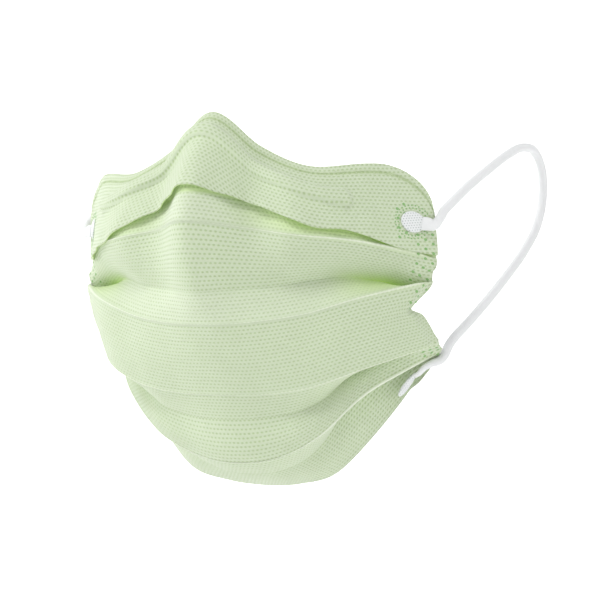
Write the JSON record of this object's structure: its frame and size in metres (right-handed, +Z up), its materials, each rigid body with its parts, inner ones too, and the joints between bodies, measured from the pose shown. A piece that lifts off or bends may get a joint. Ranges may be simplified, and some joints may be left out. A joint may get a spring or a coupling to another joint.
{
  "type": "surgical face mask",
  "caption": "Pleated disposable face mask in its worn form, with a nose band over a bendable wire and two ear loops.",
  "frame": {"origin": "middle of the top edge, where the mask sits on the bridge of the nose", "axes": "+X towards the wearer's left, -Y straight ahead of the wearer, +Z up"},
  "size_m": [0.1502, 0.1268, 0.1273],
  "materials": {
    "cloth": "matte",
    "wire": "satin",
    "cord": "matte"
  },
  "bodies": {
    "root": {"mask_body": "cloth", "nose_band": "cloth", "nose_wire": "wire", "ear_loop_left": "cord", "ear_loop_right": "cord", "loop_weld_top_left": "cord", "loop_weld_top_right": "cord", "loop_weld_bottom_left": "cord", "loop_weld_bottom_right": "cord"}
  },
  "joints": []
}
